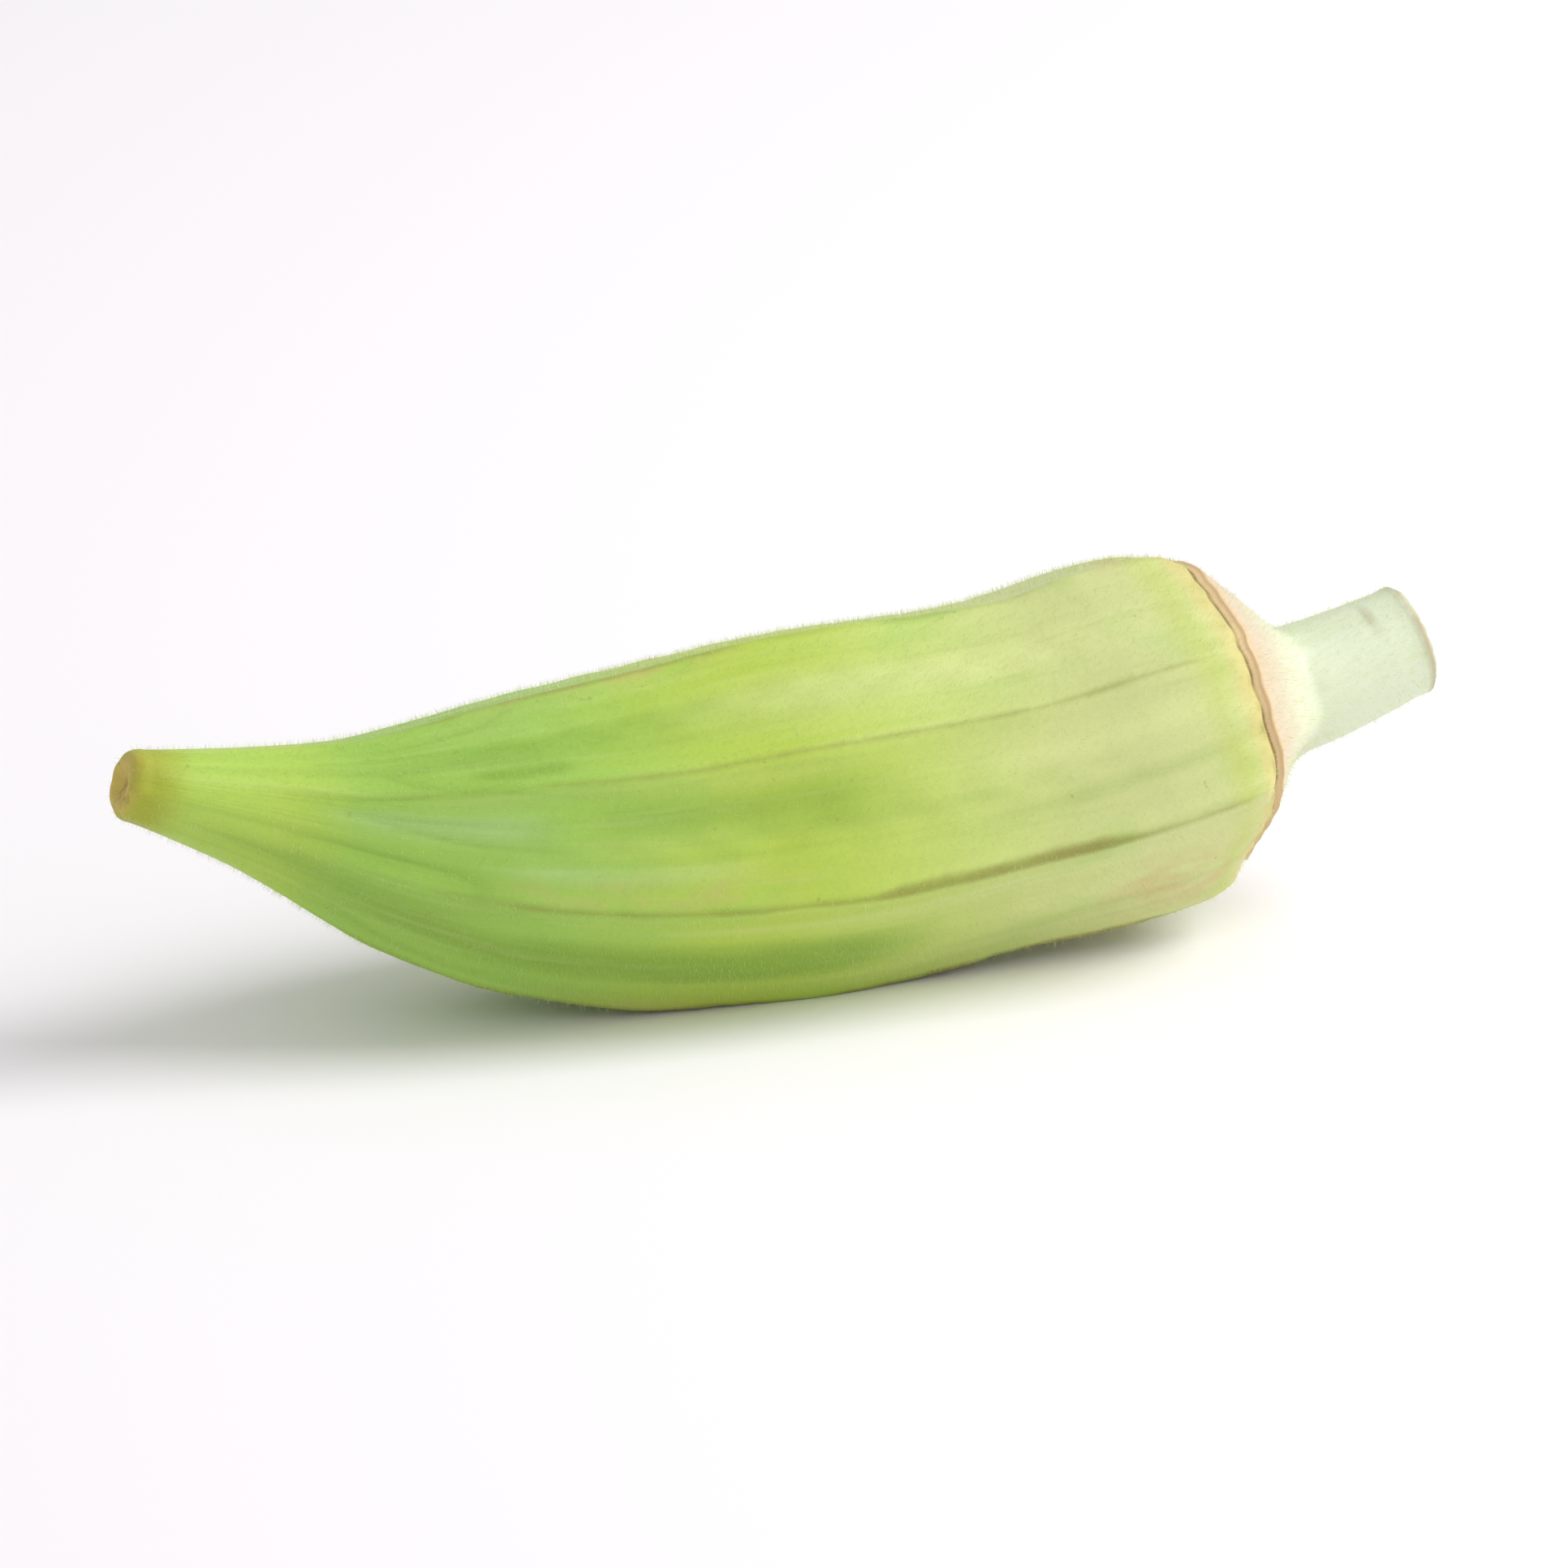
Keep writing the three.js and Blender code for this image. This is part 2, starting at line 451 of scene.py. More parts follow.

# %% [markdown]
# Rubbed stretches are listed one by one, since they tell how this pod lay: a rib, where its rubbed
# stretch starts and ends, and how strongly it is rubbed. Ends are soft, and the paint breaks the stretch up.

# %% Rubbed stretches
RUBBED = [
    (0, 0.030, 0.062, 0.6),
    (1, 0.030, 0.042, 0.5),
    (1, 0.044, 0.074, 0.8),
    (2, 0.030, 0.054, 0.33),
    (2, 0.056, 0.070, 0.65),
    (2, 0.072, 0.080, 0.2),
    (3, 0.032, 0.083, 0.2),
    (4, 0.026, 0.044, 0.25),
    (5, 0.034, 0.070, 0.6),
    (6, 0.044, 0.068, 0.6),
]
RUBBED_FADE = 0.007


def rubbed(row, direction):
    """How strongly the nearest crest is rubbed at this row, from 0 to 1."""
    strengths = (
        strength
        * ease(row.along, start - RUBBED_FADE, start)
        * (1 - ease(row.along, end, end + RUBBED_FADE))
        for rib, start, end, strength in RUBBED
        if rib == direction.rib
    )
    return max(strengths, default=0)


print(len(RUBBED), "rubbed stretches")

# %% [markdown]
# Two more kinds of mark are listed, each with a direction in degrees, half its width, where it starts
# and ends, and its strength. Washes are pale bands, or deep green ones where the strength is below
# zero. They are partly the skin's own tone and partly painted light: the pale washes on the front and
# top faces are partly painted highlight, and the deep wash along the lower front face, at -36 degrees,
# is partly painted shade. Blushes are tan, where the skin dried or was bruised. They fade on all sides.

# %% Washes with painted highlight and shade, and blushes
# Front and top pale washes are partly painted highlight; the deep wash at -36 is partly painted shade.
WASHES_HIGHLIGHT_AND_SHADE = [
    (24, 8, 0.031, 0.056, -0.5),
    (14, 5, 0.046, 0.066, -0.3),
    (22, 9, 0.014, 0.032, 0.5),
    (4, 5, 0.026, 0.045, 0.4),
    (24, 5, 0.064, 0.083, 0.6),
    (-19, 3, 0.035, 0.080, 0.5),
    (-36, 12, 0.022, 0.060, -0.75),
    (-34, 12, 0.060, 0.086, 0.5),
    (-40, 8, 0.038, 0.052, -0.3),
    (60, 13, 0.042, 0.083, 0.5),
    (46, 4, 0.024, 0.032, -0.5),
    (-26, 12, 0.004, 0.024, -0.45),
    (108, 6, 0.030, 0.072, 0.5),
    (122, 6, 0.036, 0.066, -0.6),
    (158, 9, 0.042, 0.082, 0.6),
    (172, 5, 0.028, 0.058, -0.6),
    (212, 8, 0.030, 0.072, 0.5),
    (226, 6, 0.040, 0.070, -0.5),
    (-90, 10, 0.030, 0.076, 0.4),
]
BLUSHES = [
    (-3, 5, 0.028, 0.046, 0.5),
    (84, 4, 0.027, 0.046, 0.6),
    (-44, 17, 0.073, 0.083, 0.8),
    (98, 18, 0.079, 0.085, 0.8),
    (-64, 7, 0.030, 0.044, 0.5),
    (66, 18, 0.0985, 0.0992, 0.7),
    (150, 7, 0.058, 0.068, 0.5),
    (230, 6, 0.050, 0.058, 0.5),
]
MARK_FADE = 0.25


def marks(chosen, row, direction):
    """The sum of the chosen marks at this place."""
    total = 0
    for angle, width, start, end, strength in chosen:
        fade = MARK_FADE * (end - start)
        inside = ease(row.along, start - fade, start + fade) * (1 - ease(row.along, end - fade, end + fade))
        apart = (math.degrees(direction.turn) - angle + HALF_TURN) % FULL_TURN - HALF_TURN
        total += strength * inside * hump(apart, 0, width)
    return total


print(len(WASHES_HIGHLIGHT_AND_SHADE), "washes and", len(BLUSHES), "blushes")

# %% [markdown]
# ## Veins, seeds and folds
# The faces between the ribs aren't smooth. Broad bands swell and sink along the pod, fine veins run over
# them, and where the pod widens from its neck the veins stand in short, deep folds. Under the middle of
# each face lies a row of seeds, which lifts the skin a little. Near the ring the skin is puckered.

# %% Veins, seeds and folds
BAND_RISE, BAND_LONG, BAND_WIDE = 0.00018, 0.045, 0.0045
VEIN_RISE, VEIN_LONG, VEIN_WIDE = 0.00005, 0.030, 0.0012
FOLD_DEPTH, FOLD_LONG, FOLD_WIDE = 0.00011, 0.014, 0.0030
FOLDS_AT, FOLDS_SPREAD = 0.021, 0.009
FOLD_SHARPNESS = 6
SEED_RISE, SEED_SPACING = 0.00009, 0.0056
SEED_BAND, SEED_STAGGER = 0.35, 0.37
SEEDS_START, SEEDS_END = 0.024, 0.078
PUCKER_RISE, PUCKER_LONG, PUCKER_WIDE, PUCKER_REACH = 0.00022, 0.006, 0.0019, 0.004
PUCKER_FULL = PUCKER_REACH / 3


def crease(value, sharpness):
    """1 along the thin lines where the noise is 0, and nearly nothing between them."""
    return (1 - min(abs(value), 1)) ** sharpness


def veins(row, place):
    """Bands and veins along a face."""
    bands = BAND_RISE * grain(place, BAND_LONG, BAND_WIDE, layer=1)
    fine = VEIN_RISE * grain(place, VEIN_LONG, VEIN_WIDE, layer=2)
    return (bands + fine) * body_share(row.along)


def folded(row, place):
    """How deep in a fold this place is, from 0 to 1, where the pod widens from its neck."""
    lines = crease(grain(place, FOLD_LONG, FOLD_WIDE, layer=3), FOLD_SHARPNESS)
    return lines * hump(row.along, FOLDS_AT, FOLDS_SPREAD)


def seeds(row, direction):
    """The low bumps over the row of seeds in the middle of a face."""
    inside = ease(row.along, SEEDS_START, SEEDS_START + SEED_SPACING)
    inside *= 1 - ease(row.along, SEEDS_END - SEED_SPACING, SEEDS_END)
    middle = ease(direction.from_rib / direction.half_face, SEED_BAND, 1)
    bump = math.sin(math.pi * (row.along / SEED_SPACING + SEED_STAGGER * direction.rib)) ** 2
    return SEED_RISE * inside * middle * bump


def puckers(row, place):
    """The small folds of the shoulder, against the ring."""
    near = ease(row.along, RING[0] - PUCKER_REACH, RING[0] - PUCKER_FULL)
    near *= 1 - ease(row.along, RING[0] - CAP_BLEND / 2, RING[0])
    return PUCKER_RISE * near * grain(place, PUCKER_LONG, PUCKER_WIDE, layer=4)


print("the deepest fold is", round(FOLD_DEPTH * TO_MM, 2), "mm deep")

# %% [markdown]
# ## The ring
# The sepals broke away along the ring. It isn't a clean turning: it dips towards the tip in two places,
# its line waves between them, and a thin, dry lip stands along it in flakes. The wave moves the rows
# that are near the ring along the pod, so the groove, the lip and the colours all follow it. The dips
# are listed: a direction in degrees, half their width, and how deep they are.

# %% The ring
RING_DIPS = [(-60, 28, 0.0022), (104, 24, 0.0007)]
RING_WAVE = 0.00022
RING_WAVE_WIDE = 0.0055
RING_RIPPLE = 0.0002
RING_RIPPLE_WIDE = 0.0014
RING_WAVE_REACH = 0.0055
LIP_RISE = 0.00022
LIP_WIDTH = 0.00016
LIP_WIDE = 0.0009
FLAKE_START, FLAKE_FULL = -0.5, 0.4


def ring_shift(row, direction):
    """How far the ring's wave moves this place along the pod."""
    wave = RING_WAVE * grain_round(direction.turn, RING_WAVE_WIDE, layer=5)
    wave += RING_RIPPLE * grain_round(direction.turn, RING_RIPPLE_WIDE, layer=6)
    for angle, width, depth in RING_DIPS:
        wave -= depth * hump(math.degrees(direction.turn), angle, width)
    return wave * hump(row.along, RING[0], RING_WAVE_REACH)


def lip(row, direction):
    """The dry lip on the body's side of the groove, broken into flakes."""
    flake = ease(grain_round(direction.turn, LIP_WIDE, layer=7), FLAKE_START, FLAKE_FULL)
    return LIP_RISE * flake * hump(row.trail, RING_TRAIL - LIP_WIDTH, LIP_WIDTH)


print("the ring dips in", len(RING_DIPS), "places and waves", round(RING_WAVE * TO_MM, 2), "mm to and fro")

# %% [markdown]
# ## Cap, stalk and ends
# The cap has shallow lobes under the places where the sepals stood, and streaks run down it. The stalk
# is ridged, and the knife left it a little wider at the cut, where the skin has drawn back from the pith
# as it dried. The tip is where the flower's style broke off: it is shrivelled, with a hollow face.

# %% Cap, stalk and ends
CAP_LOBE, CAP_LOBES, CAP_LOBES_TURN = 0.00022, 5, 1
STREAK_RISE, STREAK_LONG, STREAK_WIDE = 0.00010, 0.02, 0.0034
FLARE, FLARE_LENGTH = 0.00012, 0.0014
WRINKLE_RISE, WRINKLE_LONG, WRINKLE_WIDE, WRINKLE_REACH = 0.00018, 0.0040, 0.0060, 0.0045
TIP_HOLLOW, CUT_HOLLOW, CUT_ROUGHNESS, CUT_GRAIN = 0.0005, 0.0005, 0.00012, 0.0005
PITH_EDGE, PITH_RIM, PITH_RIM_WIDTH = 0.55, 0.0002, 0.12


def cap_and_stalk(row, direction, place):
    """Lobes, streaks and the flare at the cut, on the skin past the ring."""
    past_ring = ease(row.along, RING[0] + GROOVE_WIDTH, RING[0] + 2 * GROOVE_WIDTH)
    on_cap = past_ring * (1 - ease(row.along, CAP_HOLLOW[0], CAP_FOOT[0] + CAP_BLEND))
    lobes = CAP_LOBE * math.cos(CAP_LOBES * direction.turn + CAP_LOBES_TURN)
    streaks = STREAK_RISE * grain(place, STREAK_LONG, STREAK_WIDE, layer=8)
    flare = FLARE * ease(row.along, LENGTH - FLARE_LENGTH, LENGTH - CUT_ROUNDING)
    return on_cap * lobes + past_ring * streaks + flare


def wrinkles(row, place):
    """Shrivelled folds round the tip."""
    near = 1 - ease(row.along, 0, WRINKLE_REACH)
    return WRINKLE_RISE * near * grain(place, WRINKLE_LONG, WRINKLE_WIDE, layer=9)


def end_push(row, direction):
    """How far a place on an end face is moved along the pod."""
    if row.trail <= FACE_TRAIL:
        return TIP_HOLLOW * (1 - (row.radius / TIP_FACE_RADIUS) ** 2)
    if row.trail < CUT_TRAIL:
        return 0
    out = row.radius / cut_edge[1]
    place = Vector((0, row.radius * math.cos(direction.turn), row.radius * math.sin(direction.turn)))
    fibres = CUT_ROUGHNESS * out * grain(place, CUT_GRAIN, CUT_GRAIN, layer=10)
    return fibres + PITH_RIM * hump(out, PITH_EDGE, PITH_RIM_WIDTH) - CUT_HOLLOW * (1 - out ** 2)


print("the cut face is hollowed by", CUT_HOLLOW * TO_MM, "mm")

# %% [markdown]
# ## Rolling the sheet
# A grid operator makes the flat sheet, with its map: across the map is round the pod and up the map is
# along it. Then every point goes to its place round the centre line. The two long edges meet, and each
# short edge shrinks to one point, so welding doubles closes the skin. Rolling turned it inside out, and
# the normals are worked out anew after the weld. The values that the paint needs are kept on the
# points: the place on the straightened pod, the distance from the ring and from the nearest crest, how
# rubbed the crest is, the washes with their painted highlight and shade, the blushes, the folds that
# the paint darkens as painted shade, and how thick the fuzz may grow.

# %% One point of the skin
headings = [
    (after - before).normalized()
    for before, after in zip([centre_points[0], *centre_points], [*centre_points[1:], centre_points[-1]])
]


def centre_at(along):
    """The point of the centre line at a distance from the tip, and the way ahead there."""
    index = min(max(bisect(centre_distances, along), 1), len(centre_points) - 1)
    before, after = centre_distances[index - 1], centre_distances[index]
    share = (along - before) / (after - before)
    centre = centre_points[index - 1].lerp(centre_points[index], share)
    return centre, headings[index - 1].lerp(headings[index], share)


def relief_at(row, direction):
    """How far the skin stands out from the plain form."""
    place = straightened(row.trail, direction.turn)
    relief = cord(row, direction, rubbed(row, direction)) + veins(row, place)
    relief += seeds(row, direction) + puckers(row, place) + lip(row, direction)
    relief += cap_and_stalk(row, direction, place) + wrinkles(row, place)
    return relief - FOLD_DEPTH * folded(row, place)


def skin_point(row, direction):
    """Where a point of the sheet goes on the pod."""
    on_side = min(row.radius / TIP_FACE_RADIUS, 1)
    reach = row.radius * face_share(direction, flatness_at(row.along))
    reach += relief_at(row, direction) * on_side
    centre, ahead = centre_at(row.along + ring_shift(row, direction))
    front = Vector((0, -1, 0))
    top = front.cross(ahead) + ahead * lean_at(row.along)
    turn = direction.turn + wander(row, direction)
    outwards = front * math.cos(turn) + top * math.sin(turn)
    return centre + ahead * end_push(row, direction) + outwards * reach


middle_row = rows[len(rows) // 2]
print("the first crest is at", [round(x, 4) for x in skin_point(middle_row, directions[0])])

# %% Roll and weld the sheet
BAKE_MAP = "OFBake"
SHEET_HALF = 0.5
WELD = 1e-6
VALUES = ["from_ring", "from_crest", "rubbed", "wash_light_and_shade", "blush", "folded", "fuzz"]

pod = bmesh.new()
pod.loops.layers.uv.new(BAKE_MAP)
bmesh.ops.create_grid(
    pod,
    x_segments=len(directions),
    y_segments=len(rows) - 1,
    size=SHEET_HALF,
    calc_uvs=True,
)
pod.verts.layers.float_vector.new("straight")
for name in VALUES:
    pod.verts.layers.float.new(name)
straight_layer = pod.verts.layers.float_vector["straight"]
keep = {name: pod.verts.layers.float[name] for name in VALUES}
pod.verts.ensure_lookup_table()
columns = len(directions) + 1
for number, point in enumerate(pod.verts):
    row = rows[number // columns]
    direction = directions[number % columns % len(directions)]
    place = straightened(row.trail, direction.turn)
    point.co = skin_point(row, direction)
    point[straight_layer] = place
    point[keep["from_ring"]] = row.trail - RING_TRAIL
    point[keep["from_crest"]] = direction.from_rib * row.radius
    point[keep["rubbed"]] = rubbed(row, direction)
    point[keep["wash_light_and_shade"]] = marks(WASHES_HIGHLIGHT_AND_SHADE, row, direction)
    point[keep["blush"]] = marks(BLUSHES, row, direction)
    point[keep["folded"]] = folded(row, place)
bmesh.ops.remove_doubles(pod, verts=pod.verts[:], dist=WELD)
bmesh.ops.recalc_face_normals(pod, faces=pod.faces[:])
print(len(pod.faces), "faces,", sum(len(face.verts) - 2 for face in pod.faces), "triangles,",
      sum(not edge.is_manifold for edge in pod.edges), "open edges")

# %% [markdown]
# The pod is then laid down as the part is: centred in plan, with its lowest part pressed flat where it
# rests. Fuzz grows everywhere but on the end faces and where the skin is pressed on the floor.

# %% Lay the pod down
FUZZ_CLEARANCE = 0.0012


def corners(mesh):
    """The lowest and the highest corner of a bmesh."""
    places = [point.co for point in mesh.verts]
    low, high = (Vector(pick(place[axis] for place in places) for axis in range(3)) for pick in (min, max))
    return low, high


low, high = corners(pod)
shift = (POD_LOW + POD_HIGH) / 2 - (low + high) / 2
shift.z = -low.z - REST_DEPTH
bmesh.ops.translate(pod, verts=pod.verts[:], vec=shift)
fuzz_start, fuzz_end = trail_at(TIP_ROUNDING), CUT_TRAIL - 2 * CUT_ROUNDING
for point in pod.verts:
    point.co.z = max(point.co.z, 0)
    travelled = point[straight_layer].x
    on_sides = ease(travelled, FACE_TRAIL, fuzz_start) * (1 - ease(travelled, fuzz_end, CUT_TRAIL))
    point[keep["fuzz"]] = on_sides * ease(point.co.z, FUZZ_CLEARANCE / 2, FUZZ_CLEARANCE)
for face in pod.faces:
    face.smooth = True
skin_mesh = bpy.data.meshes.new("okra_skin")
pod.to_mesh(skin_mesh)
pod.free()
skin = bpy.data.objects.new("okra_skin", skin_mesh)
bpy.context.scene.collection.objects.link(skin)
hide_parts("okra_pod")
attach(skin, "root")
print("moved by", [round(x * TO_MM, 2) for x in shift], "mm; size", [round(x, 4) for x in high - low])

# %% [markdown]
# ## Paint with expressions
# A material is a tree of nodes, and a long one is hard to read as a list of links. So a small class
# wraps one socket: sums and products of shades add their Math nodes, and one method makes any other
# node from its type, its settings and what goes into its sockets. Then a mask reads like arithmetic.
# A Mix node has several sockets of the same name, so the ones for colours are chosen by number.

# %% A socket that takes part in arithmetic
MIX_MASK, MIX_UNDER, MIX_OVER, MIX_RESULT = 0, 6, 7, 2


class Shade:
    """One output socket of a node tree. A sum or product of shades adds a Math node to the tree."""

    def __init__(self, tree, socket=None):
        self.tree = tree
        self.socket = socket

    def node(self, kind, settings=None, sockets=None, output=0):
        """Adds a node. Settings come first, then values or links for its sockets."""
        made = self.tree.nodes.new(kind)
        for name, value in (settings or {}).items():
            setattr(made, name, value)
        for name, value in (sockets or {}).items():
            if isinstance(value, Shade):
                self.tree.links.new(value.socket, made.inputs[name])
            else:
                made.inputs[name].default_value = value
        return Shade(self.tree, made.outputs[output] if made.outputs else None)

    def math(self, operation, *values):
        """A Math node of this operation on these values."""
        return self.node("ShaderNodeMath", {"operation": operation}, dict(enumerate(values)))

    def __add__(self, other):
        return self.math("ADD", self, other)

    __radd__ = __add__

    def __sub__(self, other):
        return self.math("SUBTRACT", self, other)

    def __rsub__(self, other):
        return self.math("SUBTRACT", other, self)

    def __mul__(self, other):
        return self.math("MULTIPLY", self, other)

    __rmul__ = __mul__

    def __truediv__(self, other):
        return self.math("DIVIDE", self, other)

    def rise(self, start, end):
        """0 before the start, 1 past the end, and a smooth rise between them."""
        steps = {"Value": self, "From Min": start, "From Max": end}
        return self.node("ShaderNodeMapRange", {"interpolation_type": "SMOOTHSTEP"}, steps)

    def line(self, middle, width):
        """1 at the middle, falling smoothly to 0 this far on each side."""
        return 1 - self.math("ABSOLUTE", self - middle).rise(0, width)

    def mix(self, under, over, mask):
        """One colour, covered by the other where the mask is 1."""
        sockets = {MIX_MASK: mask, MIX_UNDER: under, MIX_OVER: over}
        return self.node("ShaderNodeMix", {"data_type": "RGBA"}, sockets, MIX_RESULT)


def colour(code):
    """The colour of a web code such as b4cf6e, as shaders take it, by the sRGB standard's formula."""
    def linear(part):
        return part / 12.92 if part <= 0.04045 else ((part + 0.055) / 1.055) ** 2.4

    return tuple(linear(int(code[i:i + 2], 16) / 255) for i in (0, 2, 4)) + (1,)


print("a mid green in shader numbers:", [round(part, 3) for part in colour("b4cf6e")])

# %% [markdown]
# ## The skin's colours
# The palette is named by where a colour sits on the pod. Then come the coordinates that the paint reads:
# the trail, the straightened pod for what follows the fibres, and the object's own coordinates for what
# has no direction, such as specks. Noise mostly stays near 0.5, so a rise between two levels of it cuts
# out patches with soft edges.

# %% Palette and coordinates
GREEN = colour("b2ca47")
DEEP = colour("7ba128")
FRESH = colour("96c452")
NECK = colour("b1d052")
LIGHT = colour("ccd292")
PALE = colour("d6dd96")
# Bloom is a bluish pale green that the pale washes carry, and there it is partly painted highlight.
BLOOM_AND_HIGHLIGHT = colour("b4d38e")
OLIVE = colour("8a9036")
BROWN = colour("8c6534")
TAN = colour("c9a976")
RING_GREEN = colour("b8c450")
CREAM = colour("ccbe74")
SCAR_TAN = colour("96774a")
SCAR_BROWN = colour("6c4c2a")
CAP_PINK = colour("dabc91")
CAP_CREAM = colour("d1c0a7")
STALK_PALE = colour("d8e1c4")
STALK_GREEN = colour("c8d6a2")
RIM_BROWN = colour("9a8464")
PITH = colour("dccda6")
TIP_YELLOW = colour("a3a71e")
TIP_TAN = colour("d8bd66")
TIP_BROWN = colour("7c5a34")
SPECK = colour("7d8f3a")

skin_paint = bpy.data.materials.new("okra_skin")
skin_paint.use_nodes = True
paper = Shade(skin_paint.node_tree)
straight = paper.node("ShaderNodeAttribute", {"attribute_name": "straight"}, output="Vector")
from_ring, from_crest, wear, wash_light_and_shade, blush, fold_shade = (
    paper.node("ShaderNodeAttribute", {"attribute_name": name}, output="Fac")
    for name in VALUES
    if name != "fuzz"
)
object_place = paper.node("ShaderNodeTexCoord", output="Object")
trail = paper.node("ShaderNodeSeparateXYZ", sockets={0: straight})

PEAKS = 0.52, 0.74


def fibre_noise(long, wide, detail=2.0, layer=0.0):
    """Noise drawn out along the fibres, with spots this long and wide."""
    scale = paper.node("ShaderNodeMapping", sockets={
        "Vector": straight,
        "Location": (layer, layer, layer),
        "Scale": (1 / long, 1 / wide, 1 / wide),
    })
    return paper.node("ShaderNodeTexNoise", sockets={"Vector": scale, "Scale": 1.0, "Detail": detail})


def spot_noise(size, detail=2.0):
    """Noise with no direction, with spots of this size."""
    sockets = {"Vector": object_place, "Scale": 1 / size, "Detail": detail}
    return paper.node("ShaderNodeTexNoise", sockets=sockets)


def peaks(pattern):
    """The higher parts of a noise, with soft edges."""
    return pattern.rise(*PEAKS)


def dips(pattern):
    """The lower parts of a noise, with soft edges."""
    return (1 - pattern).rise(*PEAKS)


def painted(base, coats):
    """A colour covered by coats, one after another: a tint, its mask and how much it covers."""
    for tint, mask, cover in coats:
        base = paper.mix(base, tint, mask * cover)
    return base


print("the paint reads", len(skin_paint.node_tree.nodes), "nodes so far")

# %% [markdown]
# ### Body
# The neck is a yellow green, the part where it widens a fresh, slightly bluish one, the middle a warmer
# green, and the shoulder is pale, with slow changes between. Over that lie the washes, which are partly
# the skin's own tone and partly painted highlight and painted shade, broken up by broad lengthwise
# bands, then painted shade in the folds, fine streaks, greener blotches, and specks smaller than a
# pinhead.

# %% Body colours
NECK_FADE = 0.008, 0.017
FRESH_START, FRESH_END = (0.010, 0.017), (0.028, 0.046)
SHOULDER_FADE = 0.046, 0.078
WASH_EVEN, WASH_BANDS, WASH_BLOTCHES = 0.4, 0.7, 0.5
WASH_FADE = 0.04, 0.8
SPECK_EDGE = 0.70, 0.78
MOTTLE_EDGE = 0.32, 0.66


def past(fade):
    """0 before a fade, 1 past it. A fade is a pair of distances from the tip."""
    return trail.rise(*map(trail_at, fade))


on_neck = 1 - past(NECK_FADE)
past_neck = past(FRESH_START) * (1 - past(FRESH_END))
at_shoulder = past(SHOULDER_FADE)
bands = fibre_noise(long=0.045, wide=0.0045, layer=1.0)
streaks = fibre_noise(long=0.020, wide=0.0011, detail=3.0, layer=2.0)
blotches = fibre_noise(long=0.011, wide=0.0050, layer=3.0)
mottles = fibre_noise(long=0.004, wide=0.0018, detail=3.0, layer=8.0)
specks = spot_noise(size=0.0007)
# The washes carry painted highlight and painted shade besides the skin's own tone.
broken_wash_light_and_shade = wash_light_and_shade * (WASH_EVEN + bands * WASH_BANDS + blotches * WASH_BLOTCHES)
pale_wash_and_highlight = broken_wash_light_and_shade.rise(*WASH_FADE)
deep_wash_and_shade = (0 - broken_wash_light_and_shade).rise(*WASH_FADE)

body = painted(paper.mix(GREEN, NECK, on_neck), [
    (FRESH, past_neck, 0.8),
    (LIGHT, at_shoulder, 0.9),
    (DEEP, peaks(bands), 0.3),
    (PALE, dips(bands), 0.2),
    # The deep wash is partly painted shade; the pale washes and their bloom are partly painted highlight.
    (DEEP, deep_wash_and_shade, 0.8),
    (PALE, pale_wash_and_highlight * (1 - past_neck), 0.65),
    (BLOOM_AND_HIGHLIGHT, pale_wash_and_highlight * past_neck, 0.85),
    (FRESH, peaks(blotches), 0.3),
    # Deeper green in the folds is painted shade.
    (DEEP, fold_shade, 0.3),
    (DEEP, peaks(streaks), 0.13),
    (PALE, dips(streaks), 0.13),
    (SPECK, specks.rise(*SPECK_EDGE), 0.35),
    (TAN, blush * mottles.rise(*MOTTLE_EDGE), 0.75),
])
print("the body colours take", len(skin_paint.node_tree.nodes), "nodes")

# %% [markdown]
# ### Crests
# Every crest carries a thin olive line, from the end of the neck to just before the ring. The harder it
# is rubbed, the wider and stronger the line is, and where it is worn through it turns brown, in patches.
# Where the line starts is counted from the tip, and where it ends from the ring.

# %% Crest lines
CREST_LINE = 0.0006
CREST_START, CREST_END = (0.014, 0.024), (-0.0040, -0.0020)
CREST_BREAKS = 0.30, 0.60
RUBBED_LINE, RUBBED_SPREAD = 0.001, 0.5
RUBBED_EDGE, RUBBED_LEVEL = (-0.2, 0.6), (0, 0.2)
WORN_LEVEL, WORN_PATCHES = (0.4, 0.9), (0.36, 0.60)

broken = fibre_noise(long=0.005, wide=0.002, detail=4.0, layer=4.0)
patchy = fibre_noise(long=0.0022, wide=0.0012, detail=3.0, layer=5.0)
on_body = past(CREST_START) * (1 - from_ring.rise(*CREST_END))
crest_line = from_crest.line(0, CREST_LINE) * on_body
rubbed_reach = wear * (RUBBED_SPREAD + broken) - from_crest / RUBBED_LINE
rubbed_line = rubbed_reach.rise(*RUBBED_EDGE) * wear.rise(*RUBBED_LEVEL)
worn_through = rubbed_line * wear.rise(*WORN_LEVEL) * patchy.rise(*WORN_PATCHES)
body = painted(body, [
    (OLIVE, crest_line * broken.rise(*CREST_BREAKS), 0.28),
    (OLIVE, rubbed_line, 0.65),
    (BROWN, worn_through, 0.55),
])
print("a crest line is", CREST_LINE * TO_MM, "mm wide on each side")

# %% [markdown]
# ### Ring, cap and stalk
# Towards the ring the skin first turns a stronger yellow green and then cream. The scar itself is a
# thin line, tan with a brown core. Past it the skin is a warm cream, with streaks of green and tan down
# the cap, and the stalk is a very pale green. The cut has dried to a thin brown rim round a cream face,
# with small pores and a ring of greener vessels in it.

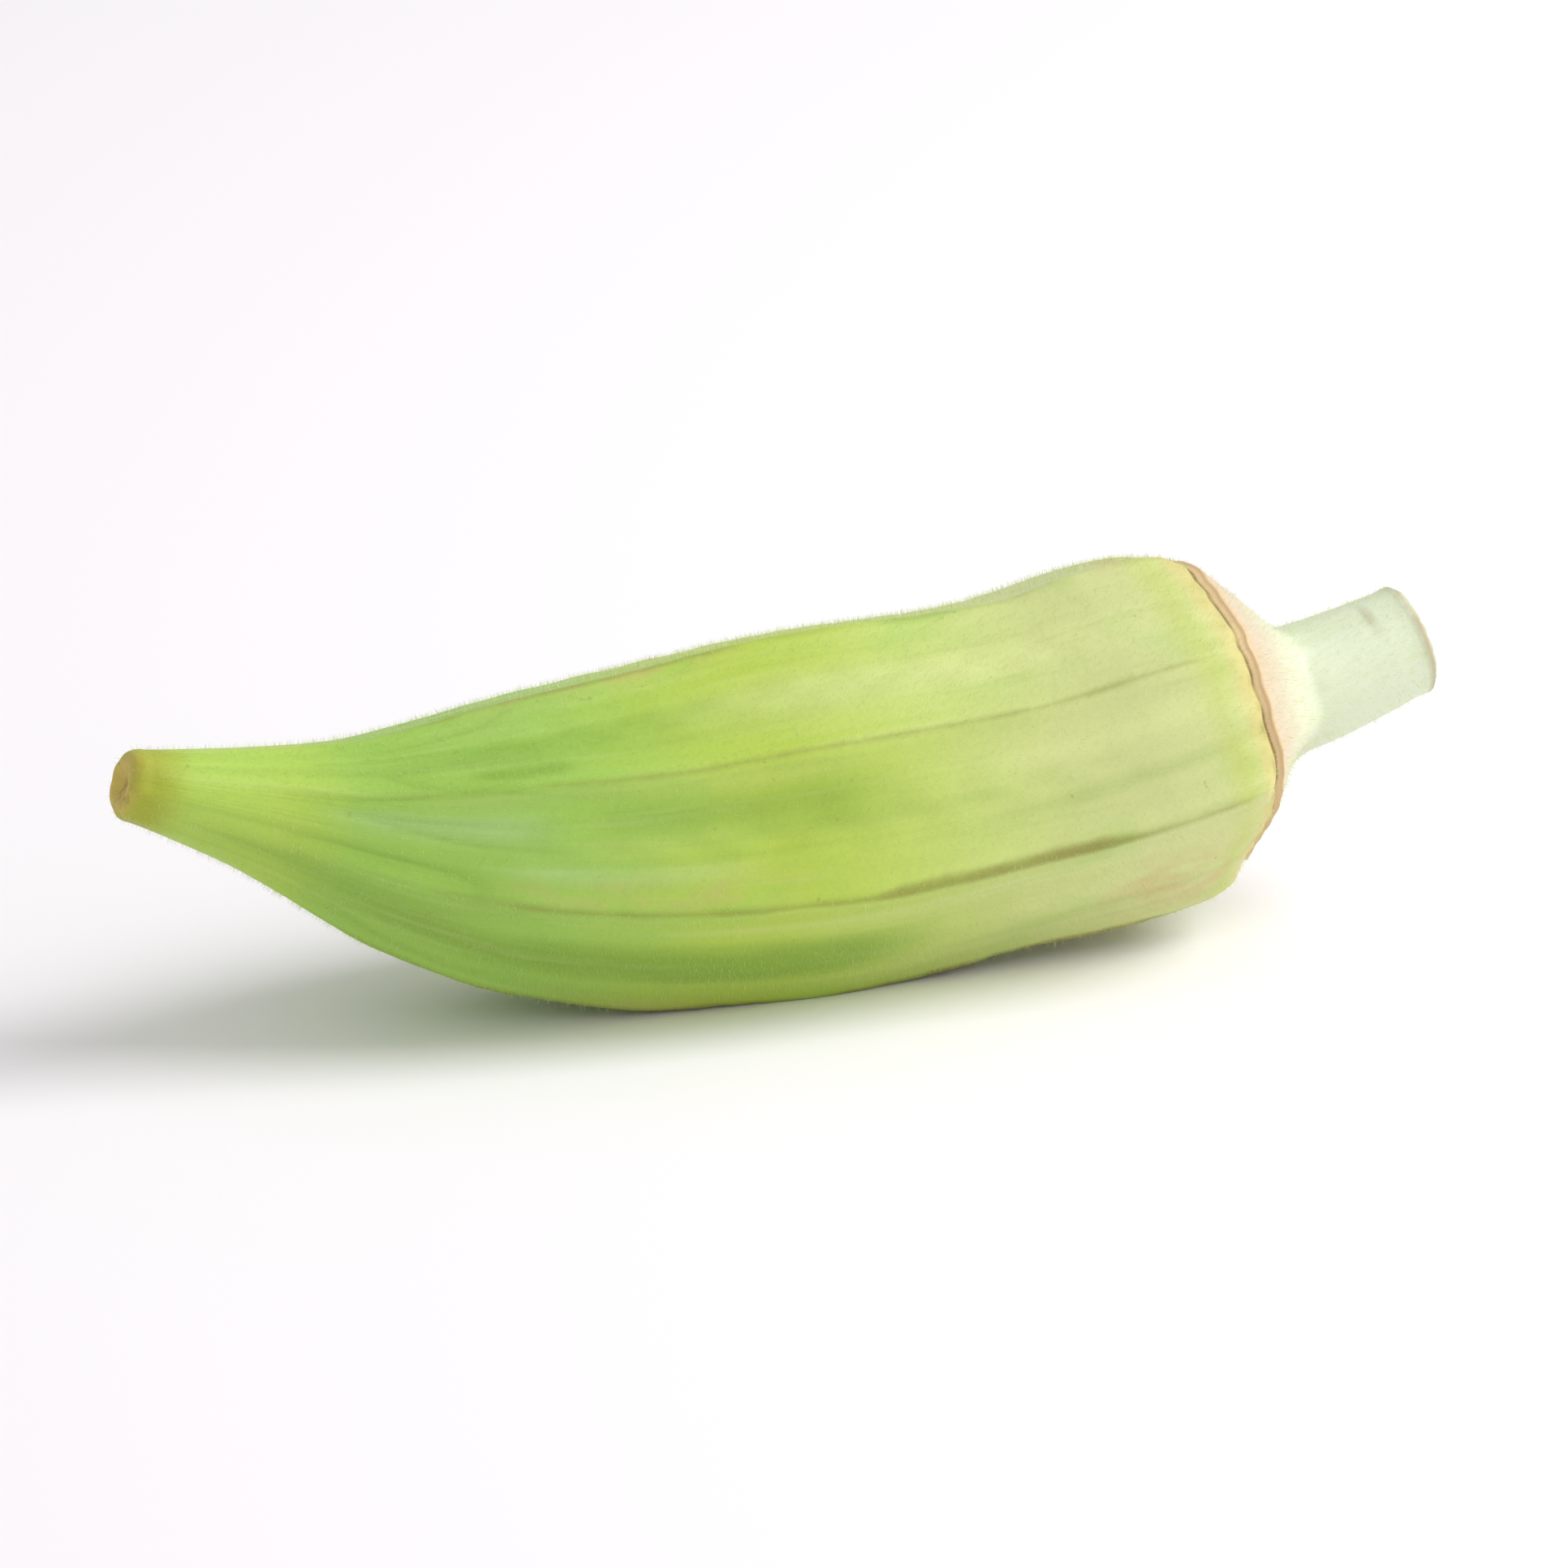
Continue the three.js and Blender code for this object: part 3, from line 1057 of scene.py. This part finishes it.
# %% Ring, cap and stalk colours
STRIPE_AT, STRIPE_WIDTH, STRIPE_PATCHES = -0.0030, 0.0026, (0, 0.7)
CREAM_FADE = -0.0024, -0.0007
SCAR_AT, SCAR_WIDTH, SCAR_CORE = 0.0002, 0.0005, 0.0003
SCAR_EVEN, SCAR_PATCHES, CORE_PATCHES = 0.5, (0.3, 0.6), (0.32, 0.55)
CAP_FULL, CAP_CREAM_FADE = 0.0016, (0.0008, 0.0024)
STALK_FADE = 0.0868, 0.0940
RIM_WIDTH, VESSELS_WIDTH, RIM_PATCHES = 0.0008, 0.0006, (0.2, 0.5)

torn = spot_noise(size=0.0035, detail=3.0)
pores = spot_noise(size=0.0004, detail=3.0)
stalk_streaks = fibre_noise(long=0.012, wide=0.0045, detail=3.0, layer=6.0)
scar = from_ring.line(SCAR_AT, SCAR_WIDTH) * (SCAR_EVEN + torn.rise(*SCAR_PATCHES) * (1 - SCAR_EVEN))
scar_core = from_ring.line(SCAR_AT, SCAR_CORE) * torn.rise(*CORE_PATCHES)
rim = trail.line(CUT_TRAIL - RIM_WIDTH / 2, RIM_WIDTH) * torn.rise(*RIM_PATCHES)
vessels = trail.line(CUT_TRAIL + (1 - PITH_EDGE) * STALK_RADIUS, VESSELS_WIDTH)
on_stalk = past(STALK_FADE)
on_cap = from_ring.rise(SCAR_AT + SCAR_WIDTH, CAP_FULL) * (1 - on_stalk)
cap_streaks = fibre_noise(long=0.012, wide=0.0042, detail=4.0, layer=9.0)
pod_colour = painted(body, [
    (RING_GREEN, from_ring.line(STRIPE_AT, STRIPE_WIDTH) * blotches.rise(*STRIPE_PATCHES), 0.5),
    (CREAM, from_ring.rise(*CREAM_FADE), 0.8),
    (TAN, from_ring.rise(*CREAM_FADE) * blush, 0.6),
    (CAP_PINK, from_ring.rise(SCAR_AT, SCAR_AT + SCAR_WIDTH), 1),
    (CAP_CREAM, from_ring.rise(*CAP_CREAM_FADE), 1),
    (STALK_GREEN, on_cap * peaks(cap_streaks), 0.55),
    (TAN, on_cap * dips(cap_streaks), 0.3),
    (STALK_PALE, on_stalk, 1),
    (STALK_GREEN, on_stalk * peaks(stalk_streaks), 0.45),
    (RIM_BROWN, on_stalk * blush, 0.6),
    (SCAR_TAN, scar, 0.85),
    (SCAR_BROWN, scar_core, 0.75),
    (PITH, trail.rise(CUT_TRAIL, CUT_TRAIL + RIM_WIDTH / 2), 1),
    (TAN, trail.rise(CUT_TRAIL, CUT_TRAIL + RIM_WIDTH) * peaks(pores), 0.5),
    (STALK_GREEN, vessels * torn.rise(*RIM_PATCHES), 0.8),
    (RIM_BROWN, rim, 0.75),
])
print("the scar is", SCAR_WIDTH * TO_MM, "mm wide on each side")

# %% [markdown]
# ### Tip
# Over its last few millimetres the neck turns olive yellow. The dried face of the tip is tan, with
# brown spots and a brown scar in its middle, where the style of the flower stood.

# %% Tip colours
STYLE_SCAR = 0.0012
EDGE_SWAY = 0.0012
DRY_MARGIN, DRY_END, YELLOW_END = 0.0004, 0.0018, 0.0054

from_tip = trail + spot_noise(size=0.0016, detail=3.0) * EDGE_SWAY
withered = spot_noise(size=0.0007, detail=4.0)
yellowing = 1 - from_tip.rise(trail_at(DRY_END), trail_at(YELLOW_END))
dried = 1 - from_tip.rise(FACE_TRAIL + DRY_MARGIN, trail_at(DRY_END))
pod_colour = painted(pod_colour, [
    (TIP_YELLOW, yellowing, 0.88),
    (TIP_TAN, dried, 0.8),
    (TIP_BROWN, dried * peaks(withered), 0.5),
    (TIP_BROWN, from_tip.line(0, STYLE_SCAR), 0.6),
])
print("the tip face is", round(2 * TIP_FACE_RADIUS * TO_MM, 1), "mm across")

# %% [markdown]
# ### Satin and fine relief
# The skin is satin: the light on it is soft, with a weak sheen from the fuzz, and a little light gets
# into the flesh. Dried places are dull. Bump gives what is finer than the mesh: fibres and pebbling.

# %% Shader of the skin
SHEEN = 0.1
SHEEN_ROUGHNESS = 0.4
FLESH_SHARE = 0.12
FLESH_DEPTH = 0.0015
FLESH_TINT = (0.9, 1.0, 0.35)
BUMP_DEPTH = 0.00006
RUBBED_DRYNESS = 0.6
SATIN, STREAK_DULLNESS, DRY_DULLNESS = 0.47, 0.1, 0.3
FIBRE_SHARE, PEBBLE_SHARE = 0.6, 0.4

dry = scar + rim + dried + rubbed_line * RUBBED_DRYNESS
dull = dry.math("MINIMUM", dry, 1)
roughness = SATIN + streaks * STREAK_DULLNESS + dull * DRY_DULLNESS
fibres = fibre_noise(long=0.006, wide=0.00045, detail=4.0, layer=7.0)
pebbles = spot_noise(size=0.0005, detail=3.0)
height = fibres * FIBRE_SHARE + pebbles * PEBBLE_SHARE + dull * pebbles
bump = paper.node("ShaderNodeBump", sockets={"Height": height, "Distance": BUMP_DEPTH}, output="Normal")
shader = skin_paint.node_tree.nodes["Principled BSDF"]
shader.inputs["Sheen Weight"].default_value = SHEEN
shader.inputs["Sheen Roughness"].default_value = SHEEN_ROUGHNESS
shader.inputs["Subsurface Weight"].default_value = FLESH_SHARE
shader.inputs["Subsurface Scale"].default_value = FLESH_DEPTH
shader.inputs["Subsurface Radius"].default_value = FLESH_TINT
for socket, value in {"Base Color": pod_colour, "Roughness": roughness, "Normal": bump}.items():
    skin_paint.node_tree.links.new(value.socket, shader.inputs[socket])
skin_mesh.materials.append(skin_paint)
print("the skin's material has", len(skin_paint.node_tree.nodes), "nodes")

# %% [markdown]
# ## Fuzz
# Okra is covered with short, stiff hairs. They are too fine to see one by one from a step away, but
# they blur the outline and catch the light along it. Hair strands would be lost in an export, so a
# Geometry Nodes tree scatters three-sided spikes over the skin and makes them real mesh. It is fed by
# the fuzz values of the points, and its random draws are seeded. A Random Value node has limits of the
# same name for each kind of value, so they are chosen by number: 0 and 1 for a turn, 2 and 3 for a size.

# %% Scatter the fuzz
HAIR_LENGTH = 0.0005
HAIR_RADIUS = 0.000011
HAIRS_PER_SQUARE_METRE = 7e6
HAIR_TILT = math.radians(28)
HAIR_SIDES = 3
HAIR_SMALLEST, HAIR_LARGEST = 0.6, 1.2
PLACE_SEED, TILT_SEED, SIZE_SEED = 4, 5, 6

tree = bpy.data.node_groups.new("fuzz", "GeometryNodeTree")
tree.interface.new_socket("Skin", in_out="INPUT", socket_type="NodeSocketGeometry")
tree.interface.new_socket("Fuzz", in_out="OUTPUT", socket_type="NodeSocketGeometry")
loom = Shade(tree)
skin_in = loom.node("NodeGroupInput")
thickness = loom.node("GeometryNodeInputNamedAttribute", {"data_type": "FLOAT"}, {"Name": "fuzz"})
scatter = loom.node("GeometryNodeDistributePointsOnFaces", sockets={
    "Mesh": skin_in,
    "Density": thickness * HAIRS_PER_SQUARE_METRE,
    "Seed": PLACE_SEED,
})
upright = Shade(tree, scatter.socket.node.outputs["Rotation"])
tilt = loom.node("FunctionNodeRandomValue", {"data_type": "FLOAT_VECTOR"}, {
    0: (-HAIR_TILT, -HAIR_TILT, 0),
    1: (HAIR_TILT, HAIR_TILT, math.tau),
    "Seed": TILT_SEED,
})
hair_size = loom.node("FunctionNodeRandomValue", {"data_type": "FLOAT"}, {
    2: HAIR_SMALLEST,
    3: HAIR_LARGEST,
    "Seed": SIZE_SEED,
}, output=1)
spike = loom.node("GeometryNodeMeshCone", sockets={
    "Vertices": HAIR_SIDES,
    "Radius Top": 0.0,
    "Radius Bottom": HAIR_RADIUS,
    "Depth": HAIR_LENGTH,
})
placed = loom.node("GeometryNodeInstanceOnPoints", sockets={
    "Points": scatter,
    "Instance": spike,
    "Rotation": loom.node("FunctionNodeRotateRotation", {"rotation_space": "LOCAL"}, {
        "Rotation": upright,
        "Rotate By": loom.node("FunctionNodeEulerToRotation", sockets={"Euler": tilt}),
    }),
    "Scale": hair_size,
})
loom.node("NodeGroupOutput", sockets={0: loom.node("GeometryNodeRealizeInstances", sockets={0: placed})})
print("the fuzz tree has", len(tree.nodes), "nodes")

# %% Make the fuzz a mesh of its own
carrier = bpy.data.objects.new("fuzz_carrier", skin_mesh)
bpy.context.scene.collection.objects.link(carrier)
carrier.modifiers.new("fuzz", "NODES").node_group = tree
bpy.context.view_layer.update()
fuzz_mesh = bpy.data.meshes.new_from_object(carrier.evaluated_get(bpy.context.evaluated_depsgraph_get()))
bpy.data.objects.remove(carrier)
fuzz_mesh.name = "okra_fuzz"
fuzz_mesh.materials.clear()
fuzz = bpy.data.objects.new("okra_fuzz", fuzz_mesh)
bpy.context.scene.collection.objects.link(fuzz)

HAIR_GREEN = colour("c6d884")
HAIR_PALE = colour("e4e8b8")
HAIR_PATCH = 0.0065
HAIR_DULLNESS = 0.5

fuzz_paint = bpy.data.materials.new("okra_fuzz")
fuzz_paint.use_nodes = True
hair_shader = fuzz_paint.node_tree.nodes["Principled BSDF"]
hair_shader.inputs["Roughness"].default_value = HAIR_DULLNESS
hair_shade = Shade(fuzz_paint.node_tree)
hair_place = hair_shade.node("ShaderNodeTexCoord", output="Object")
hair_patches = hair_shade.node("ShaderNodeTexNoise", sockets={"Vector": hair_place, "Scale": 1 / HAIR_PATCH})
hair_colour = hair_shade.mix(HAIR_GREEN, HAIR_PALE, hair_patches)
fuzz_paint.node_tree.links.new(hair_colour.socket, hair_shader.inputs["Base Color"])
fuzz_mesh.materials.append(fuzz_paint)
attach(fuzz, "root")
print(len(fuzz_mesh.polygons), "faces of fuzz")
